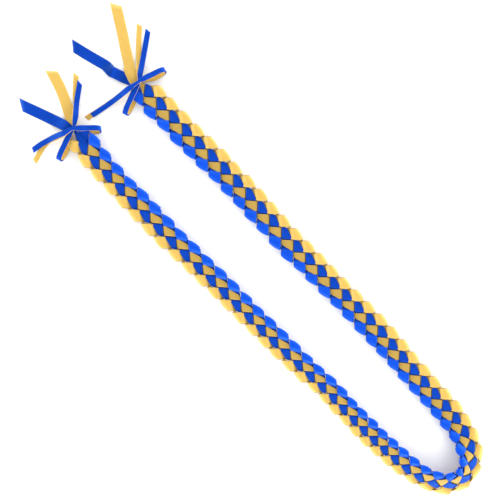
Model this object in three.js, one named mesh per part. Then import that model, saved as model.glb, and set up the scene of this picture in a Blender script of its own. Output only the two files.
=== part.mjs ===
// Honor cord made as a braided ribbon lei: one gold and one blue satin ribbon are woven loop through
// loop into a flat braid, and each end is gathered by a bow of two narrow ribbons.
// Millimetres, +Z up. The cord lies on the plane z = 0 as an open U: the neck bend is at +Y, the free
// ends and their bows are at -Y, the gold edge is outside and the blue edge is inside.
import * as THREE from 'three';

// Ribbon stock
const WIDE_RIBBON = 16;
const TIE_RIBBON = 8;
const CLOTH = 1.1;
const AIR = 0.6;

// Weave of the braid
const ROW_GAP = 3.2;
const LOOP_RISE = 3.2;
const KNOT_WIDTH = 7;
const TIE_KNOT_WIDTH = 5;

// Bows
const LOOP_HEIGHT = 9.4;
const INNER_LOOP_INSET = 2.4;
const LOOP_SPREAD = 3;

const GOLD = '#f0bd48';
const BLUE = '#1f45cf';

// Sizes that follow from the ribbon: rows of one colour lie one ROW apart, and two ribbons that cross
// lie one LEVEL apart in height. A ribbon folds half way between the two rows that it passes, and its
// edge loops reach RIDGE_REACH rows out from the closed ends' row.
const ROW = WIDE_RIBBON + ROW_GAP;
const LEVEL = CLOTH + AIR;
const INNER = LEVEL / 2;
const OUTER = INNER + LEVEL;
const HALF = WIDE_RIBBON / 2 / ROW;
const BETWEEN_ROWS = 0.5;
const RIDGE_REACH = 1.62;
const MITRE_LIMIT = 1.5;
const FLOOR = CLOTH / 2;
const layer = (count) => FLOOR + count * LEVEL;

// Centre line of the braid from the upper bow, round the neck bend, to the lower bow.
const ROUTE = [
  { x: -64.5, y: -323.9 }, { x: -61.0, y: -305.7 }, { x: -60.5, y: -273.7 }, { x: -60.0, y: -221.8 },
  { x: -60.0, y: -117.2 }, { x: -57.0, y: -54.4 }, { x: -54.3, y: 29.3 }, { x: -54.8, y: 134.0 },
  { x: -54.0, y: 186.3 }, { x: -50.3, y: 228.2 }, { x: -46.6, y: 280.5 }, { x: -43.7, y: 332.8 },
  { x: -40.0, y: 364.2 }, { x: -32.1, y: 391.7 }, { x: -16.5, y: 414.5 }, { x: 7.4, y: 424.8 },
  { x: 31.5, y: 414.5 }, { x: 47.1, y: 391.7 }, { x: 54.6, y: 364.2 }, { x: 58.3, y: 332.8 },
  { x: 60.4, y: 280.5 }, { x: 59.9, y: 238.6 }, { x: 58.5, y: 196.8 }, { x: 59.9, y: 154.9 },
  { x: 62.1, y: 71.2 }, { x: 62.6, y: -33.5 }, { x: 63.6, y: -96.2 }, { x: 64.1, y: -180.0 },
  { x: 62.5, y: -221.8 }, { x: 60.5, y: -288.7 }, { x: 56.1, y: -323.7 }, { x: 53.2, y: -343.8 },
];

// How the braid changes along its length: length of a row and width of the braid as shares of the
// relaxed weave, and the roll in degrees that turns the outer edge up.
const TENSION = [
  { along: 0.00, length: 1.00, width: 0.94, roll: 4 },
  { along: 0.06, length: 1.00, width: 0.93, roll: 4 },
  { along: 0.25, length: 0.94, width: 0.91, roll: 6 },
  { along: 0.40, length: 0.88, width: 0.89, roll: 4 },
  { along: 0.43, length: 0.86, width: 0.88, roll: 2 },
  { along: 0.49, length: 0.84, width: 0.80, roll: -30 },
  { along: 0.515, length: 0.84, width: 0.79, roll: -30 },
  { along: 0.56, length: 0.79, width: 0.79, roll: -13 },
  { along: 0.60, length: 0.76, width: 0.78, roll: -11 },
  { along: 0.72, length: 0.92, width: 0.79, roll: -11 },
  { along: 0.88, length: 1.02, width: 0.86, roll: -8 },
  { along: 1.00, length: 1.00, width: 0.90, roll: -5 },
];

// One loop of a ribbon, from the closed end that wraps the other colour, out over one strand and
// under the next, to the loop on the braid's edge. Places and half widths are shares of ROW, counted
// out towards the ribbon's own edge of the braid and on along it; heights are from the middle plane.
const TOP_PLY = [
  { name: 'closed end', out: -0.5 - BETWEEN_ROWS, on: -0.3, height: OUTER, spanOut: 0, spanOn: 0.12 },
  { name: 'over', out: -0.5 + HALF, on: 0, height: OUTER, spanOut: 0, spanOn: HALF },
  { name: 'under', out: 0.5 - HALF, on: 0, height: INNER, spanOut: 0, spanOn: HALF },
  { name: 'edge', out: 0.5 + BETWEEN_ROWS, on: 0, height: INNER, spanOut: 0, spanOn: HALF },
  { name: 'ridge', out: RIDGE_REACH, on: 0, height: LOOP_RISE, spanOut: 0.18, spanOn: HALF },
];
const EDGE_TURN = { name: 'turn', out: 1.95, on: 0.47, height: -AIR, spanOut: -0.09, spanOn: 0 };
const BOTTOM_PLY = [
  { name: 'ridge', out: 1.25, on: -0.15, height: -LOOP_RISE, spanOut: -0.22, spanOn: -0.27 },
  { name: 'edge', out: 0.5 + BETWEEN_ROWS, on: 0, height: -INNER, spanOut: 0, spanOn: -HALF },
  { name: 'under', out: 0.5 - HALF, on: 0, height: -INNER, spanOut: 0, spanOn: -HALF },
  { name: 'over', out: -0.5 + HALF, on: 0, height: -OUTER, spanOut: 0, spanOn: -HALF },
  { name: 'closed end', out: -0.5 - BETWEEN_ROWS, on: -0.3, height: -OUTER, spanOut: 0, spanOn: -0.12 },
];
const BOW_TO_FIRST_ROW = 0.5;
const LAST_ROW_TO_BOW = 0.35;

// The bows. Points are millimetres from the bow's knot, heights in layers of ribbon above the floor;
// half gives a half width other than the ribbon's own, slant the tip's cut along the ribbon.
const BOWS = {
  upper: {
    knot: ROUTE[0],
    loops: [{ x: 49.3, y: 15.6, side: 1 }, { x: -41.2, y: 10.5, side: 1 }],
    gold: {
      wide: { knotLayer: 3, tail: [
        { x: 2.6, y: -11.2, layer: 3, half: 5.5 }, { x: -7.0, y: -27.7, layer: 1.2 },
        { x: -20.0, y: -49.0, layer: 0 }, { x: -34.0, y: -70.0, layer: 0 },
        { x: -57.1, y: -106.9, layer: 0, slant: -4.5 }] },
      first: [{ x: -60.7, y: -61.1, layer: 0, slant: -2.8 }, { x: -37.0, y: -39.0, layer: 0 },
        { x: -20.0, y: -21.5, layer: 1 }, { x: -9.0, y: -10.0, layer: 3.8 }],
      last: [{ x: 18.0, y: -3.3, layer: 7.5 }, { x: 34.0, y: -6.1, layer: 3.2 },
        { x: 54.0, y: -10.2, layer: 0 }, { x: 93.0, y: -18.3, layer: 0, slant: 0.6 }],
    },
    blue: {
      wide: { knotLayer: 2, tail: [
        { x: 4.9, y: -7.8, layer: 1.8, half: 5.5 }, { x: 9.8, y: -18.0, layer: 0 },
        { x: 16.4, y: -36.0, layer: 1.2 }, { x: 18.9, y: -46.0, layer: 2.6 },
        { x: 19.2, y: -57.7, layer: 0.6 }, { x: 24.7, y: -82.9, layer: 0 },
        { x: 31.2, y: -108.9, layer: 0, slant: 7.5 }] },
      first: [{ x: -63.9, y: -46.2, layer: 0, slant: -3.4 }, { x: -38.0, y: -27.7, layer: 1.1 },
        { x: -22.0, y: -16.3, layer: 2.8 }, { x: -9.0, y: -7.0, layer: 5.2 }],
      last: [{ x: 18.0, y: -3.0, layer: 8.8 }, { x: 34.0, y: -5.8, layer: 4.8 },
        { x: 54.0, y: -9.6, layer: 1.2 }, { x: 84.1, y: -15.6, layer: 1, slant: 0.6 }],
    },
  },
  lower: {
    knot: ROUTE[ROUTE.length - 1],
    loops: [{ x: 48.2, y: 13.9, side: 1 }, { x: -31.4, y: 26.2, side: -1 }],
    gold: {
      wide: { knotLayer: 2, tail: [
        { x: -5.3, y: -10.6, layer: 1.8, half: 5.5 }, { x: -10.8, y: -19.6, layer: 0.4, half: 7 },
        { x: -20.5, y: -38.0, layer: 0 }, { x: -29.0, y: -57.0, layer: 0 },
        { x: -37.9, y: -84.8, layer: 0, slant: -4.5 }] },
      first: [{ x: -60.1, y: -55.3, layer: 0, slant: -2.8 }, { x: -37.8, y: -34.6, layer: 0 },
        { x: -28.8, y: -24.6, layer: 0.3 }, { x: -13.5, y: -11.0, layer: 3.8 }],
      last: [{ x: 13.5, y: -3.8, layer: 7.2 }, { x: 27.0, y: -9.6, layer: 3.4 },
        { x: 42.0, y: -12.4, layer: 0.2 }, { x: 74.7, y: -7.3, layer: 0, slant: -1.6 }],
    },
    blue: {
      wide: { knotLayer: 3, tail: [
        { x: 4.7, y: -11.6, layer: 3, half: 5.5 }, { x: 9.5, y: -26.0, layer: 1 },
        { x: 15.9, y: -44.4, layer: 0 }, { x: 29.3, y: -81.4, layer: 0, slant: 6.5 }] },
      first: [{ x: -55.7, y: -42.7, layer: 1.1, slant: -3.4 }, { x: -31.0, y: -24.6, layer: 1.7 },
        { x: -14.0, y: -9.0, layer: 5.2 }],
      last: [{ x: 13.5, y: -4.4, layer: 8.6 }, { x: 26.0, y: -10.6, layer: 5.2 },
        { x: 38.0, y: -15.0, layer: 2.4 }, { x: 50.0, y: -18.6, layer: 1.4 },
        { x: 64.5, y: -21.3, layer: 0.3, slant: -1 }],
    },
  },
};
// Layers in which the narrow ribbons cross their knot: first under the bow's top, then below the
// braid's ribbons, and last over everything.
const TIE_PASSES = { gold: [4.4, 1, 6.9], blue: [5.6, 0, 8.1] };

// Reads a column of the tension table between its rows.
function tension(column, along) {
  const share = THREE.MathUtils.clamp(along, 0, 1);
  const next = Math.max(1, TENSION.findIndex((row) => row.along >= share));
  const from = TENSION[next - 1];
  const to = TENSION[next];
  const blend = (share - from.along) / (to.along - from.along);
  return THREE.MathUtils.lerp(from[column], to[column], blend);
}

// Distance along the braid, as a share of its length, at a share of its rows: the row lengths summed.
function shareOfLength(along) {
  const steps = 400;
  let covered = 0;
  let total = 0;
  for (let step = 0; step < steps; step += 1) {
    const middle = (step + 0.5) / steps;
    const length = tension('length', middle);
    covered += length * THREE.MathUtils.clamp(along * steps - step, 0, 1);
    total += length;
  }
  return { share: covered / total, mean: total / steps };
}

const route = new THREE.CatmullRomCurve3(ROUTE.map(({ x, y }) => new THREE.Vector3(x, y, 0)), false, 'centripetal');
route.arcLengthDivisions = 1200;
const routeLength = route.getLength();
const rowLength = Math.SQRT2 * ROW;
const rowsOfRoute = routeLength / (rowLength * shareOfLength(1).mean);
const rows = Math.round(rowsOfRoute - BOW_TO_FIRST_ROW - LAST_ROW_TO_BOW);
const rowSpan = rows + BOW_TO_FIRST_ROW + LAST_ROW_TO_BOW;

// Places a point of the weave on the braid. across and down are the two ribbon directions in rows,
// at 45 degrees to the braid; the middle plane is lifted until the rolled section clears the floor.
function onBraid(across, down, height) {
  const along = ((across + down) / 2 + BOW_TO_FIRST_ROW) / rowSpan;
  const place = THREE.MathUtils.clamp(shareOfLength(along).share, 0, 1);
  const centre = route.getPointAt(place);
  const heading = route.getTangentAt(place);
  const left = new THREE.Vector3(-heading.y, heading.x, 0);
  const width = tension('width', along);
  const side = (across - down) / Math.SQRT2 * ROW * width;
  const roll = THREE.MathUtils.degToRad(tension('roll', along));
  const dip = RIDGE_REACH / Math.SQRT2 * ROW * width * Math.abs(Math.sin(roll));
  const lift = LOOP_RISE + MITRE_LIMIT * FLOOR + dip;
  const beyond = ((across + down) / 2 + BOW_TO_FIRST_ROW) - THREE.MathUtils.clamp(along, 0, 1) * rowSpan;
  return centre
    .addScaledVector(heading, beyond * rowLength)
    .addScaledVector(left, side * Math.cos(roll) - height * Math.sin(roll))
    .setZ(lift + height * Math.cos(roll) + side * Math.sin(roll));
}

// The two selvages of a ribbon at one step of its loop. Gold loops go out to the left of the braid,
// blue ones mirror them half a row earlier; face swaps the selvages where the ribbon is turned over.
function wovenStep(colour, row, step, face) {
  const selvage = (sign) => {
    const out = row + step.out + sign * step.spanOut;
    const on = row + step.on + sign * step.spanOn;
    return colour === 'gold' ? onBraid(out, on, step.height) : onBraid(on - 0.5, out - 0.5, step.height);
  };
  return { near: selvage(face), far: selvage(-face) };
}

// A ribbon step that lies across a heading in plan; slant moves one selvage on along the ribbon.
function laidStep(point, heading, half, slant = 0) {
  const right = new THREE.Vector3(heading.y, -heading.x, 0).normalize();
  const offset = right.multiplyScalar(half).addScaledVector(heading, slant);
  return { near: point.clone().add(offset), far: point.clone().sub(offset) };
}

// A closed ribbon of even wall through its steps: each selvage is moved half a wall either way along
// the mitred normal of the steps beside it.
function ribbonGeometry(steps) {
  const between = steps.slice(1).map((step, index) => {
    const before = steps[index];
    const run = step.near.clone().add(step.far).sub(before.near).sub(before.far);
    const span = step.near.clone().sub(step.far).add(before.near).sub(before.far);
    return run.cross(span).normalize();
  });
  const positions = [];
  steps.forEach((step, index) => {
    const before = between[Math.max(0, index - 1)];
    const after = between[Math.min(between.length - 1, index)];
    const normal = before.clone().add(after);
    const reach = Math.min(MITRE_LIMIT, 2 / Math.max(normal.length(), 1 / MITRE_LIMIT));
    normal.setLength(CLOTH / 2 * reach);
    const corners = [
      step.near.clone().add(normal), step.far.clone().add(normal),
      step.far.clone().sub(normal), step.near.clone().sub(normal),
    ];
    corners.forEach((corner) => positions.push(corner.x, corner.y, corner.z));
  });
  const indices = [];
  for (let step = 0; step + 1 < steps.length; step += 1) {
    for (let side = 0; side < 4; side += 1) {
      const here = step * 4 + side;
      const beside = step * 4 + (side + 1) % 4;
      indices.push(here, beside, beside + 4, here, beside + 4, here + 4);
    }
  }
  const last = (steps.length - 1) * 4;
  indices.push(0, 2, 1, 0, 3, 2, last, last + 1, last + 2, last, last + 2, last + 3);
  const geometry = new THREE.BufferGeometry();
  geometry.setAttribute('position', new THREE.Float32BufferAttribute(positions, 3));
  geometry.setIndex(indices);
  geometry.computeVertexNormals();
  return geometry;
}

// The tail of a wide ribbon from its knot to its cut tip, as steps in that order.
function tailSteps(bow, tail, face) {
  const points = [{ x: 0, y: 0, layer: tail.knotLayer, half: KNOT_WIDTH / 2 }, ...tail.tail];
  const places = points.map(({ x, y, layer: height }) => (
    new THREE.Vector3(bow.knot.x + x, bow.knot.y + y, layer(height))));
  return points.map(({ half = WIDE_RIBBON / 2, slant = 0 }, index) => {
    const heading = places[Math.min(index + 1, places.length - 1)].clone().sub(places[Math.max(index - 1, 0)]);
    return laidStep(places[index], heading.setZ(0).normalize(), face * half, face * slant);
  });
}

// A wide ribbon: upper tail, every loop of the braid in turn, lower tail.
function wideRibbon(colour) {
  const start = colour === 'gold' ? 1 : 3;
  const hand = colour === 'gold' ? 1 : -1;
  const steps = tailSteps(BOWS.upper, BOWS.upper[colour].wide, -hand).reverse();
  let face = 1;
  for (let row = 0; row < rows; row += 1) {
    const ply = row === 0 ? TOP_PLY.slice(start) : TOP_PLY;
    steps.push(...ply.map((step) => wovenStep(colour, row, step, face)));
    steps.push(wovenStep(colour, row, EDGE_TURN, face));
    if (row + 1 < rows || colour === 'blue') {
      steps.push(...BOTTOM_PLY.map((step) => wovenStep(colour, row + 1, step, face)));
      face = -face;
    }
  }
  if (colour === 'blue') {
    steps.push(...TOP_PLY.slice(0, 2).map((step) => wovenStep(colour, rows, step, face)));
  }
  steps.push(...tailSteps(BOWS.lower, BOWS.lower[colour].wide, hand * face));
  return ribbonGeometry(steps);
}

// A narrow ribbon of a bow: tail, knot, loop, back under the braid, loop, knot, tail. The blue ribbon
// runs outside the gold one, so the gold loops are shorter and lie between the blue plies.
function tieRibbon(bow, colour) {
  const [firstPass, underPass, lastPass] = TIE_PASSES[colour];
  const inset = colour === 'gold' ? INNER_LOOP_INSET : 0;
  const half = TIE_RIBBON / 2;
  const inKnot = (height) => ({ x: 0, y: 0, layer: height, half: TIE_KNOT_WIDTH / 2 });
  const loopSteps = ({ x, y, side }, topPass, face) => {
    const reach = Math.hypot(x, y);
    const heading = new THREE.Vector3(x, y, 0).normalize();
    const right = new THREE.Vector3(heading.y, -heading.x, 0);
    const ply = (share, height, away, out, sign) => ({
      x: heading.x * (reach - inset) * share + right.x * away,
      y: heading.y * (reach - inset) * share + right.y * away,
      z: height,
      heading: heading.clone().multiplyScalar(out),
      face: sign,
    });
    const top = FLOOR + LOOP_HEIGHT - (colour === 'gold' ? LEVEL : 0);
    const low = colour === 'gold' ? layer(1) : layer(0);
    const away = side * LOOP_SPREAD;
    return [
      ply(0.5, (layer(topPass) + top) / 2 + LEVEL, 0, 1, face),
      ply(1, top, 0, 1, face),
      ply(1, low, away, -1, -face),
      ply(0.5, low, away, -1, -face),
    ];
  };
  const outward = loopSteps(bow.loops[0], firstPass, 1);
  const homeward = loopSteps(bow.loops[1], lastPass, 1).reverse()
    .map((step) => ({ ...step, heading: step.heading.multiplyScalar(-1) }));
  const points = [
    ...bow[colour].first.map((point) => ({ ...point, face: 1 })),
    { ...inKnot(firstPass), face: 1 }, ...outward,
    { ...inKnot(underPass), face: -1 }, ...homeward,
    { ...inKnot(lastPass), face: 1 },
    ...bow[colour].last.map((point) => ({ ...point, face: 1 })),
  ];
  const places = points.map(({ x, y, z, layer: height }) => (
    new THREE.Vector3(bow.knot.x + x, bow.knot.y + y, z ?? layer(height))));
  return ribbonGeometry(points.map((point, index) => {
    const run = places[Math.min(index + 1, places.length - 1)].clone().sub(places[Math.max(index - 1, 0)]);
    const heading = point.heading ?? run.setZ(0).normalize();
    return laidStep(places[index], heading, point.face * (point.half ?? half), point.slant ?? 0);
  }));
}

const satin = {
  gold: () => new THREE.MeshStandardMaterial({ color: GOLD, roughness: 0.45, metalness: 0 }),
  blue: () => new THREE.MeshStandardMaterial({ color: BLUE, roughness: 0.45, metalness: 0 }),
};

function piece(name, geometry, colour) {
  const mesh = new THREE.Mesh(geometry, satin[colour]());
  mesh.name = name;
  return mesh;
}

const cord = new THREE.Group();
for (const colour of ['gold', 'blue']) {
  cord.add(piece(`${colour}_braid_ribbon`, wideRibbon(colour), colour));
  for (const [end, bow] of Object.entries(BOWS)) {
    cord.add(piece(`${colour}_tie_ribbon_${end}`, tieRibbon(bow, colour), colour));
  }
}

export default cord;
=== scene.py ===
"""Looks of a braided ribbon honor cord: satin ribbons, a loop-through-loop braid and two bows, in metres."""

import logging
import math
from dataclasses import dataclass, field
from enum import Enum

import bpy
import numpy as np
from mathutils import Matrix, Vector

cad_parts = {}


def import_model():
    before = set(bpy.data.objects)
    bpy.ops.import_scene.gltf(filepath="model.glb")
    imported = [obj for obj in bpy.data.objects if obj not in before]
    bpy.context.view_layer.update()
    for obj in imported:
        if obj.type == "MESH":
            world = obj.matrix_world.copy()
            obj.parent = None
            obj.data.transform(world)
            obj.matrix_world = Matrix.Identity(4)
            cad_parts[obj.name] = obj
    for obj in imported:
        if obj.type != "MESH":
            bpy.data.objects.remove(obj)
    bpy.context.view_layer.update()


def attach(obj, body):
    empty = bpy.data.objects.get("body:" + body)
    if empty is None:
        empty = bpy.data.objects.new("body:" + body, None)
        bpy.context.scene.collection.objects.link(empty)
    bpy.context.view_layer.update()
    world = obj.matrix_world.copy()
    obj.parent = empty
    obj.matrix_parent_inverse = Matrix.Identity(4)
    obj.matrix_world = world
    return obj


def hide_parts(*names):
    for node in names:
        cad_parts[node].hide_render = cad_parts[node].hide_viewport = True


BODY = "root"
MM = 0.001

# Sizes in metres: the two ribbons' widths, their wall, one layer of ribbon off the braid, and a strand's
# pitch in the weave. RIDGE_REACH is in rows, from the middle of the braid to its loops.
WIDE_RIBBON = 0.016
TIE_RIBBON = 0.008
SATIN = 0.00034
LEVEL = 0.0017
ROW = 0.0192
LOOP_RISE = 0.0032
KNOT_WIDTH = 0.0055
TIE_KNOT_WIDTH = 0.0046
RIDGE_REACH = 1.62
LOOP_HEIGHT = 0.0094
INNER_LOOP_INSET = 0.0024
LOOP_SPREAD = 0.0054

# The lowest that a ribbon's middle surface comes: half its wall and a hair above the floor.
LOWEST_MIDDLE = SATIN * 0.6

# Samples between two places of a ribbon, and faces across it.
BRAID_ARCS = 5
BRAID_COLUMNS = 8
BOW_ARCS = 8
BOW_COLUMNS = 6

# Centre line of the braid in millimetres, from the upper bow round the neck bend to the lower bow.
ROUTE = (
    (-64.5, -323.9), (-61.0, -305.7), (-60.5, -273.7), (-60.0, -221.8),
    (-60.0, -117.2), (-57.0, -54.4), (-54.3, 29.3), (-54.8, 134.0),
    (-54.0, 186.3), (-50.3, 228.2), (-46.6, 280.5), (-43.7, 332.8),
    (-40.0, 364.2), (-32.1, 391.7), (-16.5, 414.5), (7.4, 424.8),
    (31.5, 414.5), (47.1, 391.7), (54.6, 364.2), (58.3, 332.8),
    (60.4, 280.5), (59.9, 238.6), (58.5, 196.8), (59.9, 154.9),
    (62.1, 71.2), (62.6, -33.5), (63.6, -96.2), (64.1, -180.0),
    (62.5, -221.8), (60.5, -288.7), (56.1, -323.7), (53.2, -343.8),
)

# Share of the braid's rows, row length and width as shares of the relaxed weave, roll in degrees.
TENSION = (
    (0.00, 1.00, 0.94, 4), (0.06, 1.00, 0.93, 4), (0.25, 0.94, 0.91, 6), (0.40, 0.88, 0.89, 4),
    (0.43, 0.86, 0.88, 2), (0.49, 0.84, 0.80, -30), (0.515, 0.84, 0.79, -30), (0.56, 0.79, 0.79, -13),
    (0.60, 0.76, 0.78, -11), (0.72, 0.92, 0.79, -11), (0.88, 1.02, 0.86, -8), (1.00, 1.00, 0.90, -5),
)


class Colour(Enum):
    """The two ribbon colours, named by the record's material slots."""

    GOLD = "gold_satin"
    BLUE = "blue_satin"

    @property
    def word(self) -> str:
        """The plain colour word that starts the names of its pieces."""
        return self.value.split("_")[0]


# The stop of the top ply at which each ribbon's first row starts, and how many stops blue's last row has.
FIRST_STOP = {Colour.GOLD: 3, Colour.BLUE: 4}
LAST_ROW_STOPS = 4

# Off the braid the ribbons take the diamond's painted shade, in these shares of it.
DIAMOND_MIDDLE = -0.5
OFF_BRAID_SHADE = {Colour.GOLD: 0.0, Colour.BLUE: 1.15}


class End(Enum):
    """The two ends of the cord."""

    UPPER = "upper"
    LOWER = "lower"


@dataclass(frozen=True)
class Stop:
    """A place on a ribbon's way through the weave, in rows and metres.

    out counts rows towards the ribbon's own edge of the braid and on counts them along it. span_out
    and span_on lead from the middle to the first selvage, crown lifts the middle off the line between
    the two, and freedom is the share of its row's random wander that the place takes.
    """

    out: float
    on: float
    height: float
    span_out: float
    span_on: float
    crown: float = 0.0
    freedom: float = 0.0


@dataclass(frozen=True)
class Lay:
    """A place of a ribbon off the braid: millimetres from the knot, height in layers of ribbon.

    half is half the ribbon's width, slant shears the selvages along it, crown lifts its middle and
    heave tilts it, all in millimetres. shade darkens a crease or a place under another ribbon.
    """

    x: float
    y: float
    layer: float
    half: float | None = None
    slant: float = 0.0
    crown: float = 0.0
    heave: float = 0.0
    shade: float = 0.0


@dataclass(frozen=True)
class Loop:
    """A bow loop: its tip in millimetres from the knot, and the side to which its under ply drifts."""

    x: float
    y: float
    side: int


@dataclass(frozen=True)
class TieRun:
    """How one narrow ribbon is laid: its first tail from the tip in, and its last tail from the knot out."""

    first: tuple[Lay, ...]
    last: tuple[Lay, ...]
    passes: tuple[float, float, float]


@dataclass(frozen=True)
class WideRun:
    """How a wide ribbon leaves its knot, with the layer in which it crosses it."""

    knot_layer: float
    tail: tuple[Lay, ...]


@dataclass(frozen=True)
class BowPlan:
    """One bow: its knot in millimetres, its two loops, and the runs of its ribbons."""

    knot: tuple[float, float]
    loops: tuple[Loop, Loop]
    wide: dict[Colour, WideRun]
    tie: dict[Colour, TieRun]


# Layers in which a narrow ribbon crosses its knot: on its way in, under the braid, and on its way out.
GOLD_PASSES = (4.4, 1.0, 6.9)
BLUE_PASSES = (5.6, 0.0, 8.1)

BOWS: dict[End, BowPlan] = {
    End.UPPER: BowPlan(
        knot=ROUTE[0],
        loops=(Loop(49.3, 15.6, -1), Loop(-41.2, 10.5, 1)),
        wide={
            Colour.GOLD: WideRun(3, (
                Lay(5.4, -7.3, 2.8, half=6.4, slant=3.4, heave=-0.6, shade=1.1),
                Lay(1.4, -16.6, 1.3, slant=-6.7, heave=1.4, shade=0.2),
                Lay(-7.6, -29.0, 0.8, heave=0.4), Lay(-20.0, -49.0, 0.3, heave=0.5),
                Lay(-34.0, -70.0, 0, heave=-0.4), Lay(-57.1, -106.9, 0, slant=-4.5))),
            Colour.BLUE: WideRun(2, (
                Lay(4.9, -7.8, 1.8, half=7), Lay(9.4, -18.0, 0.6), Lay(14.6, -32.0, 2.0),
                Lay(16.8, -38.4, 2.8, slant=2.5, shade=-0.3), Lay(17.6, -41.0, 2.7, slant=2.8, shade=0.9),
                Lay(17.2, -51.5, 0.5, slant=-1.5, shade=0.8), Lay(17.6, -55.0, 0.1, slant=-2.0, shade=0.3),
                Lay(20.0, -64.0, 0, heave=0.3), Lay(24.9, -82.9, 0, heave=-0.4),
                Lay(31.2, -108.9, 0, slant=6, shade=0.4))),
        },
        tie={
            Colour.GOLD: TieRun(
                (Lay(-60.7, -61.1, 0, slant=-1.6), Lay(-37.0, -39.0, 0.2), Lay(-20.0, -21.5, 1),
                 Lay(-9.0, -10.0, 3.8)),
                (Lay(18.0, -3.3, 7.5), Lay(34.0, -6.1, 3.2), Lay(54.0, -10.2, 0.3),
                 Lay(93.0, -18.3, 0, slant=0.8)), GOLD_PASSES),
            Colour.BLUE: TieRun(
                (Lay(-63.9, -46.2, 0, slant=-2.2), Lay(-38.0, -27.7, 1.1), Lay(-22.0, -16.3, 2.8),
                 Lay(-9.0, -7.0, 5.2)),
                (Lay(18.0, -3.0, 8.8), Lay(34.0, -5.8, 4.8), Lay(54.0, -9.6, 1.2),
                 Lay(84.1, -15.6, 1, slant=0.6)), BLUE_PASSES),
        },
    ),
    End.LOWER: BowPlan(
        knot=ROUTE[-1],
        loops=(Loop(48.2, 13.9, -1), Loop(-31.4, 26.2, 1)),
        wide={
            Colour.GOLD: WideRun(2, (
                Lay(-4.6, -9.0, 1.8, half=7), Lay(-10.8, -19.6, 0.4), Lay(-20.5, -38.0, 0.2, heave=0.4),
                Lay(-29.0, -57.0, 0.1), Lay(-37.9, -84.8, 0, slant=-4.5))),
            Colour.BLUE: WideRun(3, (
                Lay(4.7, -11.6, 3, half=7.5, heave=0.5), Lay(9.5, -26.0, 1), Lay(15.9, -44.4, 0.2, heave=0.4),
                Lay(29.3, -81.4, 0, slant=6.5))),
        },
        tie={
            Colour.GOLD: TieRun(
                (Lay(-60.1, -55.3, 0, slant=-2.8), Lay(-37.8, -34.6, 0.2), Lay(-28.8, -24.6, 0.3),
                 Lay(-13.5, -11.0, 3.8)),
                (Lay(13.5, -3.8, 7.2), Lay(27.0, -9.6, 3.4), Lay(42.0, -14.6, 0.3),
                 Lay(74.7, -7.3, 0, slant=-1.6)), GOLD_PASSES),
            Colour.BLUE: TieRun(
                (Lay(-55.7, -42.7, 1.1, slant=-3.4), Lay(-31.0, -24.6, 1.7), Lay(-14.0, -9.0, 5.2)),
                (Lay(13.5, -4.4, 8.6), Lay(26.0, -10.6, 5.2), Lay(38.0, -15.0, 2.4), Lay(50.0, -18.6, 1.4),
                 Lay(64.5, -21.3, 0.3, slant=-1)), BLUE_PASSES),
        },
    ),
}


def curve_through(points: np.ndarray, counts: int) -> np.ndarray:
    """A smooth curve through rows of points: centripetal Catmull-Rom pieces, as cubic Hermite arcs.

    Each arc is h00*p0 + h10*dt*m0 + h01*p1 + h11*dt*m1, where m is the slope that the two chords
    beside a point give when each is weighted by the other's length.

    Args:
        points: array (n, k, 3), k strands that share one spacing, set by their mean.
        counts: samples on each arc.

    Returns:
        Array ((n - 1) * counts + 1, k, 3).
    """
    middle = points.mean(axis=1)
    spacing = np.sqrt(np.maximum(np.linalg.norm(np.diff(middle, axis=0), axis=1), 1e-5))
    chord = np.diff(points, axis=0) / spacing[:, None, None]
    before, after = spacing[:-1, None, None], spacing[1:, None, None]
    inner = (chord[:-1] * after + chord[1:] * before) / (before + after)
    slope = np.concatenate([chord[:1], inner, chord[-1:]])
    t = (np.arange(counts) / counts)[None, :, None, None]
    dt = spacing[:, None, None, None]
    arcs = (
        (2 * t**3 - 3 * t**2 + 1) * points[:-1, None]
        + (t**3 - 2 * t**2 + t) * dt * slope[:-1, None]
        + (3 * t**2 - 2 * t**3) * points[1:, None]
        + (t**3 - t**2) * dt * slope[1:, None]
    )
    return np.concatenate([arcs.reshape(-1, *points.shape[1:]), points[-1:]])


def surface_normals(grid: np.ndarray) -> np.ndarray:
    """Unit normals of a grid of points: the cross product of its slopes down and across.

    Args:
        grid: array (rows, columns, 3).

    Returns:
        Array of the same shape.
    """
    along = np.gradient(grid, axis=0)
    across = np.gradient(grid, axis=1)
    normal = np.cross(along, across)
    return normal / np.maximum(np.linalg.norm(normal, axis=2, keepdims=True), 1e-12)


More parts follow.
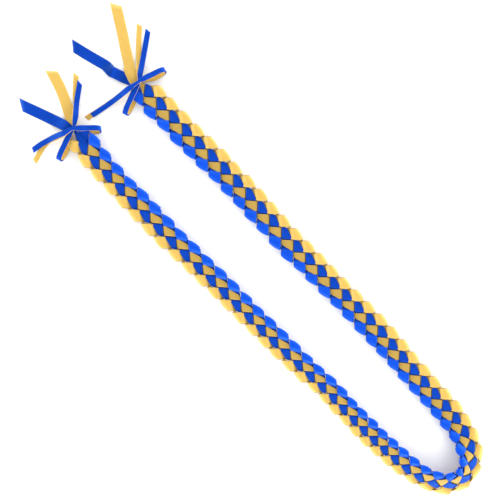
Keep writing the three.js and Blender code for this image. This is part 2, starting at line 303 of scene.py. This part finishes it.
def ribbon_object(name: str, selvages: np.ndarray, crown: np.ndarray, fold: np.ndarray, arcs: int,
                  columns: int) -> bpy.types.Object:
    """A ribbon surface between two selvages, with its flat pattern as UV and its wall by Solidify.

    A point at share v from -1 to 1 across is middle + v * half span + crown * (1 - v*v) * normal, and
    none of them sinks into the surface below the cord.

    Args:
        name: the piece's name.
        selvages: array (n, 2, 3), the places that the two selvages pass through.
        crown: array (n,), how far the middle stands off the line between the selvages.
        fold: array (n, 2), the rows out from the closed end's middle, and the share of painted shade: 1 where
            the top ply is woven.
        arcs: samples between two places.
        columns: faces across the ribbon.

    Returns:
        The mesh object, at the origin.
    """
    lines = curve_through(selvages, arcs)
    rise = curve_through(np.repeat(crown[:, None, None], 3, axis=2), arcs)[:, 0, 0]
    v = np.linspace(-1, 1, columns + 1)
    middle = lines.mean(axis=1)
    half = (lines[:, 0] - lines[:, 1]) / 2
    grid = middle[:, None] + v[None, :, None] * half[:, None]
    grid = grid + surface_normals(grid) * (rise[:, None] * (1 - v**2)[None, :])[:, :, None]
    grid[:, :, 2] = np.maximum(grid[:, :, 2], LOWEST_MIDDLE)
    length = np.concatenate([[0.0], np.cumsum(np.linalg.norm(np.diff(middle, axis=0), axis=1))])
    rows = len(grid)
    index = np.arange(rows * (columns + 1)).reshape(rows, columns + 1)
    faces = np.stack([index[:-1, :-1], index[:-1, 1:], index[1:, 1:], index[1:, :-1]], axis=-1).reshape(-1, 4)
    mesh = bpy.data.meshes.new(name)
    mesh.from_pydata(grid.reshape(-1, 3).tolist(), [], faces.tolist())
    flat = np.stack(np.broadcast_arrays(v[None, :] * 0.5 + 0.5, length[:, None] / WIDE_RIBBON), axis=-1)
    share = np.arange(rows) / arcs
    folded = np.stack([np.interp(share, np.arange(len(fold)), fold[:, k]) for k in range(2)], axis=-1)
    folded = np.broadcast_to(folded[:, None], flat.shape)
    for title, chart in (("ribbon", flat), ("fold", folded)):
        layer = mesh.uv_layers.new(name=title)
        layer.data.foreach_set("uv", chart.reshape(-1, 2)[faces.ravel()].astype(np.float32).ravel())
    mesh.shade_smooth()
    piece = bpy.data.objects.new(name, mesh)
    bpy.context.scene.collection.objects.link(piece)
    wall = piece.modifiers.new("satin wall", "SOLIDIFY")
    wall.thickness = SATIN
    wall.offset = 0.0
    piece["length"] = float(length[-1])
    return piece


@dataclass
class BraidLine:
    """The braid's centre line with its tension, which carries the weave's rows onto the surface.

    lead_in and lead_out are the rows' lengths of plain line between the bows and the woven rows.
    """

    route: np.ndarray = field(default_factory=lambda: np.array(ROUTE) * MM)
    tension: np.ndarray = field(default_factory=lambda: np.array(TENSION, float))
    lead_in: float = 0.5
    lead_out: float = 0.35
    samples: int = 80

    def __post_init__(self) -> None:
        """Works out the fine centre line, the number of rows and where each row lies along it."""
        flat = np.concatenate([self.route, np.zeros((len(self.route), 1))], axis=1)
        self.line = curve_through(flat[:, None, :], self.samples)[:, 0]
        self.reach = np.concatenate([[0.0], np.cumsum(np.linalg.norm(np.diff(self.line, axis=0), axis=1))])
        share = np.linspace(0, 1, 801)
        row_share = np.interp(share, self.tension[:, 0], self.tension[:, 1])
        covered = np.concatenate([[0.0], np.cumsum((row_share[1:] + row_share[:-1]) / 2)])
        self.row_length = math.sqrt(2) * ROW
        rows_of_line = self.reach[-1] / (self.row_length * row_share.mean())
        self.rows = round(rows_of_line - self.lead_in - self.lead_out)
        self.row_span = self.rows + self.lead_in + self.lead_out
        self.share, self.covered = share, covered / covered[-1]

    def place(self, across: np.ndarray, down: np.ndarray, height: np.ndarray) -> np.ndarray:
        """Places points of the weave: along the line by their mean row, aside by half the difference.

        The section is rolled about the line and lifted until its lowest loop clears the surface.

        Args:
            across: rows along the gold ribbon's way out.
            down: rows along the blue ribbon's way out.
            height: metres above the braid's middle plane.

        Returns:
            Array of points, in metres.
        """
        rows_on = (across + down) / 2 + self.lead_in
        along = rows_on / self.row_span
        inside = np.clip(along, 0, 1)
        at = np.interp(inside, self.share, self.covered) * self.reach[-1]
        centre = np.stack([np.interp(at, self.reach, self.line[:, k]) for k in range(3)], axis=-1)
        step = self.reach[-1] * 1e-3
        ahead, behind = np.minimum(at + step, self.reach[-1]), np.maximum(at - step, 0)
        heading = np.stack([
            np.interp(ahead, self.reach, self.line[:, k]) - np.interp(behind, self.reach, self.line[:, k])
            for k in range(3)], axis=-1)
        heading /= np.linalg.norm(heading, axis=-1, keepdims=True)
        left = np.stack([-heading[..., 1], heading[..., 0], np.zeros_like(at)], axis=-1)
        width = np.interp(inside, self.tension[:, 0], self.tension[:, 2])
        roll = np.radians(np.interp(inside, self.tension[:, 0], self.tension[:, 3]))
        side = (across - down) / math.sqrt(2) * ROW * width
        dip = RIDGE_REACH / math.sqrt(2) * ROW * width * np.abs(np.sin(roll))
        lift = LOOP_RISE + SATIN + dip
        beyond = (rows_on - inside * self.row_span) * self.row_length
        offset = side * np.cos(roll) - height * np.sin(roll)
        place = centre + heading * beyond[..., None] + left * offset[..., None]
        place[..., 2] = lift + height * np.cos(roll) + side * np.sin(roll)
        return place


@dataclass
class Weave:
    """The way of one ribbon through the braid, one loop at a time.

    half, fold_at and crest_out are in rows: half the ribbon's width, how far the closed end lies past
    its strand's middle, and where the loop is highest. inner, outer, crest and keel are heights in
    metres off the middle plane: under a strand, over it, at the loop's top and below it.
    """

    half: float = 0.462
    fold_at: float = 0.5
    inner: float = 0.00040
    outer: float = 0.00170
    crest: float = 0.0044
    keel: float = 0.0030
    crest_out: float = 1.10

    def top_ply(self) -> tuple[Stop, ...]:
        """The stops from the closed end out over one strand, under the next and over the loop's crest.

        Returns:
            The stops, in order.
        """
        h = self.half
        return (
            Stop(-0.5 - self.fold_at, -0.32, self.outer, 0, 0.14),
            Stop(-0.86, -0.23, self.outer + 0.0003, 0, 0.23),
            Stop(-0.50, -0.13, self.outer + 0.0005, 0, 0.33, 0.0002),
            Stop(-0.5 + h, 0, self.outer, 0, h),
            Stop(0.5 - h, 0, self.inner, 0, h),
            Stop(0.60, 0.0, self.inner + 0.0001, 0.03, h + 0.01, 0.0, 0.3),
            Stop(self.crest_out, 0.0, self.crest, 0.10, h + 0.03, 0.0003, 0.6),
            Stop(1.40, 0.0, self.crest - 0.0010, 0.20, h + 0.02, 0.0008, 1.0),
            Stop(1.585, 0.02, 0.0010, 0.25, h - 0.02, 0.0014, 1.0),
        )

    def edge_turn(self) -> tuple[Stop, ...]:
        """The stops of the loop's narrow turn at the braid's edge, down to the lower ply.

        Returns:
            The stops, in order.
        """
        return (Stop(1.48, 0.30, -0.0010, 0.06, 0.20, 0.0, 1.0),)

    def bottom_ply(self) -> tuple[Stop, ...]:
        """The stops back along the underside, in the next row, to the closed end.

        Returns:
            The stops, in order.
        """
        h = self.half
        return (
            Stop(1.20, -0.20, -self.keel * 0.9, -0.10, -0.26, 0.0, 0.6),
            Stop(0.9, -0.03, -self.keel * 0.5, -0.04, -0.42),
            Stop(0.5 - h, 0, -self.inner, 0, -h),
            Stop(-0.5 + h, 0, -self.outer, 0, -h),
            Stop(-0.50, -0.09, -self.outer - 0.0005, 0, -0.37),
            Stop(-0.84, -0.22, -self.outer - 0.0003, 0, -0.24),
            Stop(-0.5 - self.fold_at, -0.345, -self.outer, 0, -0.115),
        )


@dataclass(frozen=True)
class SatinFinish:
    """Satin ribbon: warp floats along it, fine twill slant, soft cloudy tone, raised selvage and painted
    shade.

    contact_shade and diamond_shade are shares of full painted shade: contact shadow at the plies' contacts
    and along the selvages, and shade over the diamonds. contact_reach and diamond_fade are rows of the weave
    over which they fade, and selvage_at is where a selvage's painted dark line and its relief start, in
    widths off the middle. float_repeats and cloud_repeats stretch the two noises across and along the ribbon.
    """

    slot: str
    base: tuple[float, float, float]
    deep: tuple[float, float, float]
    sheen: tuple[float, float, float]
    roughness: float = 0.42
    sheen_weight: float = 0.35
    sheen_roughness: float = 0.35
    gloss: float = 0.8
    float_repeats: tuple[float, float, float] = (1400.0, 24.0, 1.0)
    cloud_repeats: tuple[float, float, float] = (1.3, 0.9, 1.0)
    twill_repeats: float = 34.0
    relief_height: float = 0.00006
    contact_shade: float = 0.8
    contact_reach: tuple[float, float] = (0.03, 0.12)
    diamond_shade: float = 0.38
    diamond_fade: tuple[float, float] = (0.6, 1.0)
    selvage_at: tuple[float, float] = (0.445, 0.475)

    def material(self) -> bpy.types.Material:
        """Builds the node material, reading the ribbon's own UV maps.

        Returns:
            The material.
        """
        made = bpy.data.materials.new(self.slot)
        made.use_nodes = True
        tree = made.node_tree
        nodes, links = tree.nodes, tree.links
        surface = nodes["Principled BSDF"]
        surface.inputs["Roughness"].default_value = self.roughness
        surface.inputs["Sheen Weight"].default_value = self.sheen_weight
        surface.inputs["Sheen Roughness"].default_value = self.sheen_roughness
        surface.inputs["Sheen Tint"].default_value = (*self.sheen, 1)
        surface.inputs["Specular IOR Level"].default_value = self.gloss
        surface.inputs["Specular Tint"].default_value = (*self.sheen, 1)
        place = nodes.new("ShaderNodeUVMap")
        place.uv_map = "ribbon"
        split = nodes.new("ShaderNodeSeparateXYZ")
        links.new(place.outputs["UV"], split.inputs[0])

        floats = self._noise(tree, place, self.float_repeats, 2.0)
        cloud = self._noise(tree, place, self.cloud_repeats, 3.0)
        twill = nodes.new("ShaderNodeTexWave")
        twill.wave_type = "BANDS"
        twill.bands_direction = "DIAGONAL"
        twill.inputs["Scale"].default_value = self.twill_repeats
        twill.inputs["Distortion"].default_value = 0.6
        links.new(place.outputs["UV"], twill.inputs["Vector"])

        tone = self._math(tree, "MULTIPLY_ADD", cloud.outputs["Fac"], 0.9, 0.05)
        tone = self._math(tree, "ADD", tone, self._math(tree, "MULTIPLY", floats.outputs["Fac"], 0.22))
        tone = self._math(tree, "ADD", tone, self._math(tree, "MULTIPLY", twill.outputs["Fac"], 0.10))
        ramp = nodes.new("ShaderNodeMix")
        ramp.data_type = "RGBA"
        ramp.inputs[6].default_value = (*self.deep, 1)
        ramp.inputs[7].default_value = (*self.base, 1)
        links.new(tone, ramp.inputs[0])

        # Painted shade: a thin dark line along each selvage stands for the contact shadow where plies meet;
        # the same mask also raises the selvage in the bump.
        off_middle = self._math(tree, "ABSOLUTE", self._math(tree, "SUBTRACT", split.outputs["X"], 0.5))
        edge = self._range(tree, off_middle, self.selvage_at, (0.0, 1.0))
        # Mixes towards a quarter of the deep colour by the painted shade: contact shadow, selvage line and
        # diamond shade.
        shaded = nodes.new("ShaderNodeMix")
        shaded.data_type = "RGBA"
        shaded.inputs[7].default_value = (*(0.25 * c for c in self.deep), 1)
        links.new(ramp.outputs[2], shaded.inputs[6])
        links.new(self._contact_shade(tree, edge), shaded.inputs[0])
        links.new(shaded.outputs[2], surface.inputs["Base Color"])

        slanted = self._math(tree, "MULTIPLY", twill.outputs["Fac"], 0.5)
        relief = self._math(tree, "ADD", floats.outputs["Fac"], slanted)
        relief = self._math(tree, "ADD", relief, self._math(tree, "MULTIPLY", edge, 0.8))
        bump = nodes.new("ShaderNodeBump")
        bump.inputs["Strength"].default_value = 0.25
        bump.inputs["Distance"].default_value = self.relief_height
        links.new(relief, bump.inputs["Height"])
        links.new(bump.outputs["Normal"], surface.inputs["Normal"])
        return made

    def _contact_shade(self, tree: bpy.types.NodeTree, edge: bpy.types.NodeSocket) -> bpy.types.NodeSocket:
        """How much painted shade the top ply takes: at its contacts, a whole number of rows out, and over its
        diamond.

        Args:
            tree: the material's node tree.
            edge: 1 on the two selvages.

        Returns:
            The socket with the shade from 0 to 1.
        """
        fold = tree.nodes.new("ShaderNodeUVMap")
        fold.uv_map = "fold"
        split = tree.nodes.new("ShaderNodeSeparateXYZ")
        tree.links.new(fold.outputs["UV"], split.inputs[0])
        out = split.outputs["X"]
        from_contact = self._math(tree, "PINGPONG", out, 0.5)
        contact = self._range(tree, from_contact, self.contact_reach, (self.contact_shade, 0.0))
        diamond = self._range(tree, out, self.diamond_fade, (self.diamond_shade, 0.0))
        inside = self._math(tree, "LESS_THAN", out, 0.5)
        touching = self._math(tree, "MULTIPLY", contact, inside)
        shade = self._math(tree, "MAXIMUM", touching, diamond)
        shade = self._math(tree, "MAXIMUM", shade, self._math(tree, "MULTIPLY", edge, self.contact_shade))
        return self._math(tree, "MULTIPLY", shade, split.outputs["Y"])

    @staticmethod
    def _noise(tree: bpy.types.NodeTree, place: bpy.types.Node, scale: tuple[float, float, float],
               detail: float) -> bpy.types.Node:
        """A noise stretched over the UV map.

        Args:
            tree: the material's node tree.
            place: the UV node.
            scale: repeats across and along.
            detail: octaves of the noise.

        Returns:
            The noise node.
        """
        mapping = tree.nodes.new("ShaderNodeMapping")
        mapping.inputs["Scale"].default_value = scale
        tree.links.new(place.outputs["UV"], mapping.inputs["Vector"])
        noise = tree.nodes.new("ShaderNodeTexNoise")
        noise.inputs["Scale"].default_value = 1.0
        noise.inputs["Detail"].default_value = detail
        tree.links.new(mapping.outputs["Vector"], noise.inputs["Vector"])
        return noise

    @staticmethod
    def _range(tree: bpy.types.NodeTree, value: bpy.types.NodeSocket, given: tuple[float, float],
               wanted: tuple[float, float]) -> bpy.types.NodeSocket:
        """Maps one range of a value onto another, held at both ends.

        Args:
            tree: the material's node tree.
            value: the socket to map.
            given: the value's range.
            wanted: the range that it is mapped onto.

        Returns:
            The node's output socket.
        """
        node = tree.nodes.new("ShaderNodeMapRange")
        node.inputs["From Min"].default_value, node.inputs["From Max"].default_value = given
        node.inputs["To Min"].default_value, node.inputs["To Max"].default_value = wanted
        tree.links.new(value, node.inputs["Value"])
        return node.outputs["Result"]

    @staticmethod
    def _math(tree: bpy.types.NodeTree, operation: str,
              *values: bpy.types.NodeSocket | float) -> bpy.types.NodeSocket:
        """Adds a math node.

        Args:
            tree: the material's node tree.
            operation: the node's operation.
            values: sockets or numbers for its inputs.

        Returns:
            The node's output socket.
        """
        node = tree.nodes.new("ShaderNodeMath")
        node.operation = operation
        for slot, value in zip(node.inputs, values):
            if isinstance(value, bpy.types.NodeSocket):
                tree.links.new(value, slot)
            else:
                slot.default_value = value
        return node.outputs[0]


@dataclass
class Cord:
    """The whole cord: two wide ribbons braided together and the narrow ribbons of two bows."""

    braid: BraidLine = field(default_factory=BraidLine)
    weave: Weave = field(default_factory=Weave)
    looseness: float = 0.05
    seed: int = 7

    def woven_rows(self, colour: Colour, rows: np.ndarray, stops: tuple[Stop, ...], face: np.ndarray,
                   woven: float) -> tuple[np.ndarray, np.ndarray, np.ndarray]:
        """The selvages of a run of stops in many rows at once.

        Args:
            colour: which ribbon.
            rows: array (r,) of row numbers.
            stops: the stops, in order.
            face: array (r,) of 1 or -1, which selvage comes first.
            woven: 1 for the top ply, whose contacts take painted shade, and 0 for the rest.

        Returns:
            Selvages, array (r, stops, 2, 3), crowns, array (r, stops), and folds, array (r, stops, 2).
        """
        out, on, height, span_out, span_on, crown, freedom = (
            np.array([getattr(stop, name) for stop in stops])
            for name in ("out", "on", "height", "span_out", "span_on", "crown", "freedom"))
        rng = np.random.default_rng(self.seed + (0 if colour is Colour.GOLD else 1))
        wander = rng.normal(0, self.looseness, (self.braid.rows + 2, 3))[rows]
        out = out + wander[:, :1] * freedom
        on = on + wander[:, 1:2] * freedom * 0.5
        height = height * (1 + wander[:, 2:3] * freedom * 2)
        sign = np.array([1.0, -1.0])
        swap = face[:, None, None] * sign
        across = rows[:, None, None] + out[:, :, None] + swap * span_out[None, :, None]
        down = rows[:, None, None] + on[:, :, None] + swap * span_on[None, :, None]
        tall = np.broadcast_to(height[:, :, None], across.shape)
        if colour is Colour.BLUE:
            across, down = down - 0.5, across - 0.5
        places = self.braid.place(across, down, tall)
        mirror = -1 if colour is Colour.GOLD else 1
        fold = np.stack([out, np.full_like(out, woven)], axis=-1)
        return places, np.broadcast_to(crown, out.shape) * face[:, None] * mirror, fold

    def laid(self, knot: tuple[float, float], lays: list[Lay], heading: np.ndarray, half: np.ndarray,
             face: np.ndarray) -> tuple[np.ndarray, np.ndarray]:
        """The selvages of a ribbon that lies off the braid: middle plus and minus half its width.

        Args:
            knot: the bow's knot, in millimetres.
            lays: the places, in order.
            heading: array (n, 3) of unit headings in plan.
            half: array (n,) of half widths, in metres.
            face: array (n,) of 1 or -1, which selvage comes first.

        Returns:
            Selvages, array (n, 2, 3), and crowns, array (n,).
        """
        middle = np.array([
            ((knot[0] + lay.x) * MM, (knot[1] + lay.y) * MM, SATIN / 2 + lay.layer * LEVEL) for lay in lays])
        right = np.stack([heading[:, 1], -heading[:, 0], np.zeros(len(lays))], axis=1)
        slant = np.array([lay.slant * MM for lay in lays])
        offset = right * half[:, None] + heading * slant[:, None]
        offset[:, 2] = np.array([lay.heave * MM for lay in lays])
        offset = offset * face[:, None]
        lift = np.abs(offset[:, 2])
        middle[:, 2] += lift
        crown = np.array([lay.crown * MM for lay in lays])
        return np.stack([middle + offset, middle - offset], axis=1), crown

    @staticmethod
    def off_braid(colour: Colour, lays: list[Lay]) -> np.ndarray:
        """The fold values of places off the braid, which set their painted shade: blue is shaded like a
        diamond, and gold is left light.

        Args:
            colour: which ribbon.
            lays: the places.

        Returns:
            Array (n, 2).
        """
        return np.array([(DIAMOND_MIDDLE, OFF_BRAID_SHADE[colour] + lay.shade) for lay in lays])

    @staticmethod
    def headings(lays: list[Lay]) -> np.ndarray:
        """Unit headings in plan at each place, from the place before to the place after.

        Args:
            lays: the places, in order.

        Returns:
            Array (n, 3).
        """
        places = np.array([(lay.x, lay.y, 0.0) for lay in lays])
        ahead = np.concatenate([places[1:], places[-1:]])
        behind = np.concatenate([places[:1], places[:-1]])
        run = ahead - behind
        return run / np.linalg.norm(run, axis=1, keepdims=True)

    def tail(self, plan: BowPlan, colour: Colour, face: float) -> tuple[np.ndarray, np.ndarray, np.ndarray]:
        """A wide ribbon's tail, from its knot to its cut tip.

        Args:
            plan: the bow.
            colour: which ribbon.
            face: 1 or -1, which selvage comes first.

        Returns:
            Selvages, array (n, 2, 3), crowns, array (n,), and fold values, array (n, 2).
        """
        run = plan.wide[colour]
        lays = [Lay(0, 0, run.knot_layer, half=KNOT_WIDTH / 2 / MM, crown=0.4), *run.tail]
        half = np.array([WIDE_RIBBON / 2 if lay.half is None else lay.half * MM for lay in lays])
        faces = np.full(len(lays), face)
        selvages, crown = self.laid(plan.knot, lays, self.headings(lays), half, faces)
        return selvages, crown, self.off_braid(colour, lays)

    def wide_ribbon(self, colour: Colour) -> bpy.types.Object:
        """A wide ribbon: the upper tail, every loop of the braid in turn, and the lower tail.

        Args:
            colour: which ribbon.

        Returns:
            The ribbon's mesh object.
        """
        gold = colour is Colour.GOLD
        hand = 1 if gold else -1
        count = self.braid.rows
        rows = np.arange(count + 1)
        face = np.where(rows % 2 == 0, 1.0, -1.0)
        top, turn, bottom = self.weave.top_ply(), self.weave.edge_turn(), self.weave.bottom_ply()
        upper, upper_crown, upper_fold = self.woven_rows(colour, rows, top, face, 1.0)
        edge, edge_crown, edge_fold = self.woven_rows(colour, rows, turn, face, 1.0)
        lower, lower_crown, lower_fold = self.woven_rows(colour, rows, bottom, -face, 0.0)
        first = FIRST_STOP[colour]
        tail, tail_crown, tail_fold = self.tail(BOWS[End.UPPER], colour, -hand)
        selvages, crowns, folds = [tail[::-1]], [tail_crown[::-1] * hand * -1], [tail_fold[::-1]]
        for row in range(count):
            start = first if row == 0 else 0
            selvages += [upper[row, start:], edge[row]]
            crowns += [upper_crown[row, start:], edge_crown[row]]
            folds += [upper_fold[row, start:], edge_fold[row]]
            if row + 1 < count or not gold:
                selvages.append(lower[row + 1])
                crowns.append(lower_crown[row + 1])
                folds.append(lower_fold[row + 1])
        last = face[count - 1]
        if not gold:
            selvages.append(upper[count, :LAST_ROW_STOPS])
            crowns.append(upper_crown[count, :LAST_ROW_STOPS])
            folds.append(upper_fold[count, :LAST_ROW_STOPS])
            last = face[count]
        tail, tail_crown, tail_fold = self.tail(BOWS[End.LOWER], colour, hand * last)
        selvages.append(tail)
        crowns.append(tail_crown * -hand * last)
        folds.append(tail_fold)
        joined = (np.concatenate(run) for run in (selvages, crowns, folds))
        return ribbon_object(f"{colour.word}_satin_braid", *joined, BRAID_ARCS, BRAID_COLUMNS)

    def tie_ribbon(self, end: End, colour: Colour) -> bpy.types.Object:
        """A narrow ribbon of a bow: tail, knot, loop, under the braid, loop, knot, tail.

        The blue ribbon runs outside the gold one, so the gold loops are shorter and lie between its plies.

        Args:
            end: which bow.
            colour: which ribbon.

        Returns:
            The ribbon's mesh object.
        """
        plan = BOWS[end]
        run = plan.tie[colour]
        first_pass, _, last_pass = run.passes
        gold = colour is Colour.GOLD
        inset = INNER_LOOP_INSET if gold else 0.0
        top = (LOOP_HEIGHT - (LEVEL if gold else 0)) / LEVEL
        low = 1.0 if gold else 0.0

        def loop(tip: Loop, passed: float) -> tuple[list[Lay], list[np.ndarray], list[float]]:
            """A loop's places from the knot out over its top and back below.

            Args:
                tip: the loop.
                passed: the layer in which the ribbon crosses the knot before it.

            Returns:
                The places, their unit headings in plan, and 1 or -1 for the selvage that comes first.
            """
            reach = math.hypot(tip.x, tip.y)
            ahead = np.array([tip.x, tip.y, 0.0]) / reach
            aside = np.array([ahead[1], -ahead[0], 0.0]) * tip.side * LOOP_SPREAD / MM
            span = reach - inset / MM
            # Share of the reach, height in layers, share of the sideways drift, and face.
            rows = (
                (0.22, (3 * passed + top) / 4 + 0.8, 0.0, 1), (0.55, top + 0.6, 0.1, 1), (0.88, top, 0.3, 1),
                (1.0, (top + low) / 2 + 0.6, 0.6, 1), (0.94, low + 0.8, 0.9, -1), (0.55, low, 1.0, -1),
            )
            lays = [
                Lay(*(ahead * span * share + aside * drift)[:2], height) for share, height, drift, _ in rows]
            sides = [ahead * turn for *_, turn in rows]
            return lays, sides, [float(turn) for *_, turn in rows]

        out, out_heading, out_face = loop(plan.loops[0], first_pass)
        home, home_heading, home_face = loop(plan.loops[1], last_pass)
        knot = [Lay(0, 0, height, half=TIE_KNOT_WIDTH / 2 / MM, crown=0.3) for height in run.passes]
        lays = [*run.first, knot[0], *out, knot[1], *home[::-1], knot[2], *run.last]
        face = np.array([
            *[1.0] * (len(run.first) + 1), *out_face, -1.0, *home_face[::-1], *[1.0] * (len(run.last) + 1)])
        heading = self.headings(lays)
        start = len(run.first) + 1
        heading[start:start + len(out)] = np.array(out_heading)
        start += len(out) + 1
        heading[start:start + len(home)] = -np.array(home_heading)[::-1]
        half = np.array([TIE_RIBBON / 2 if lay.half is None else lay.half * MM for lay in lays])
        selvages, crown = self.laid(plan.knot, lays, heading, half, face)
        fold = self.off_braid(colour, lays)
        name = f"{colour.word}_satin_bow_{end.value}"
        return ribbon_object(name, selvages, -crown * face, fold, BOW_ARCS, BOW_COLUMNS)


@dataclass
class Studio:
    """A pale floor, soft light from all sides and the camera straight above, as in the photograph.

    sky_band is the height on the sky, from 0 at the horizon to 1 overhead, over which its strength goes
    from the first to the second of sky_strength. panels has the side of the photo, the bearing in
    degrees and the power in watts of each.
    """

    frame_width: float = 0.740
    lens: float = 85.0
    aim: tuple[float, float] = (-0.0052, -0.0335)
    turn: float = 135.0
    floor_half: float = 6.0
    floor_tone: float = 0.97
    panel_reach: float = 1.5
    panel_height: float = 0.75
    panel_size: tuple[float, float] = (1.8, 0.9)
    panels: tuple[tuple[str, float, float], ...] = (
        ("right", 135.0, 12.0), ("left", -45.0, 5.0), ("top", 225.0, 6.0), ("bottom", 45.0, 8.0))
    sky_band: tuple[float, float] = (0.02, 0.60)
    sky_strength: tuple[float, float] = (6.0, 0.55)

    def build(self) -> None:
        """Makes the floor, the lights, the world and the camera."""
        self._floor()
        self._lights()
        self._camera()

    def _floor(self) -> None:
        """A large pale square at the surface that the cord lies on."""
        s = self.floor_half
        mesh = bpy.data.meshes.new("floor")
        mesh.from_pydata([(-s, -s, 0), (s, -s, 0), (s, s, 0), (-s, s, 0)], [], [(0, 1, 2, 3)])
        floor = bpy.data.objects.new("floor", mesh)
        paint = bpy.data.materials.new("pale floor")
        paint.use_nodes = True
        surface = paint.node_tree.nodes["Principled BSDF"]
        tone = self.floor_tone
        surface.inputs["Base Color"].default_value = (tone, tone, tone, 1)
        surface.inputs["Roughness"].default_value = 0.9
        mesh.materials.append(paint)
        bpy.context.scene.collection.objects.link(floor)

    def _lights(self) -> None:
        """Four wide low panels and a sky brightest at the horizon, so that facets facing aside are bright."""
        world = bpy.data.worlds.new("studio")
        bpy.context.scene.world = world
        world.use_nodes = True
        tree = world.node_tree
        sky = tree.nodes["Background"]
        towards = tree.nodes.new("ShaderNodeTexCoord")
        split = tree.nodes.new("ShaderNodeSeparateXYZ")
        tree.links.new(towards.outputs["Generated"], split.inputs[0])
        bands = tree.nodes.new("ShaderNodeMapRange")
        bands.interpolation_type = "SMOOTHSTEP"
        bands.inputs["From Min"].default_value, bands.inputs["From Max"].default_value = self.sky_band
        bands.inputs["To Min"].default_value, bands.inputs["To Max"].default_value = self.sky_strength
        tree.links.new(split.outputs["Z"], bands.inputs["Value"])
        tree.links.new(bands.outputs["Result"], sky.inputs["Strength"])
        sky.inputs["Color"].default_value = (1, 1, 1, 1)
        for name, bearing, power in self.panels:
            lamp = bpy.data.lights.new(name, "AREA")
            lamp.shape = "RECTANGLE"
            lamp.size, lamp.size_y = self.panel_size
            lamp.energy = power
            panel = bpy.data.objects.new(name, lamp)
            angle = math.radians(bearing)
            reach = self.panel_reach
            panel.location = (reach * math.cos(angle), reach * math.sin(angle), self.panel_height)
            panel.rotation_euler = (Vector((0, 0, 0)) - panel.location).to_track_quat("-Z", "Y").to_euler()
            bpy.context.scene.collection.objects.link(panel)

    def _camera(self) -> None:
        """The camera looks straight down, turned so that the braid runs from upper left to lower right."""
        lens = bpy.data.cameras.new("camera")
        lens.lens = self.lens
        lens.sensor_width = 36.0
        camera = bpy.data.objects.new("camera", lens)
        distance = self.frame_width * self.lens / lens.sensor_width
        place = Matrix.Translation((*self.aim, distance)) @ Matrix.Rotation(math.radians(self.turn), 4, "Z")
        camera.matrix_world = place
        lens.clip_end = 50.0
        bpy.context.scene.collection.objects.link(camera)
        bpy.context.scene.camera = camera
        bpy.context.scene.view_settings.view_transform = "Standard"


def main() -> None:
    """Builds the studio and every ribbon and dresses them."""
    logging.basicConfig(level=logging.INFO, format="%(message)s")
    log = logging.getLogger("cord")
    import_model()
    Studio().build()
    finish = {
        Colour.GOLD: SatinFinish(
            "gold_satin", base=(0.68, 0.44, 0.10), deep=(0.56, 0.34, 0.065), sheen=(1.0, 0.80, 0.42)),
        Colour.BLUE: SatinFinish(
            "blue_satin", base=(0.006, 0.072, 0.67), deep=(0.003, 0.036, 0.42), sheen=(0.05, 0.38, 1.0)),
    }
    satin = {colour: made.material() for colour, made in finish.items()}
    cord = Cord()
    for colour in Colour:
        braid = cord.wide_ribbon(colour)
        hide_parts(f"{colour.word}_braid_ribbon")
        pieces = [braid]
        for end in End:
            bow = cord.tie_ribbon(end, colour)
            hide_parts(f"{colour.word}_tie_ribbon_{end.value}")
            pieces.append(bow)
        for piece in pieces:
            piece.data.materials.append(satin[colour])
            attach(piece, BODY)
            log.info("%s: %.3f m of ribbon", piece.name, piece["length"])


if __name__ == "__main__":
    main()
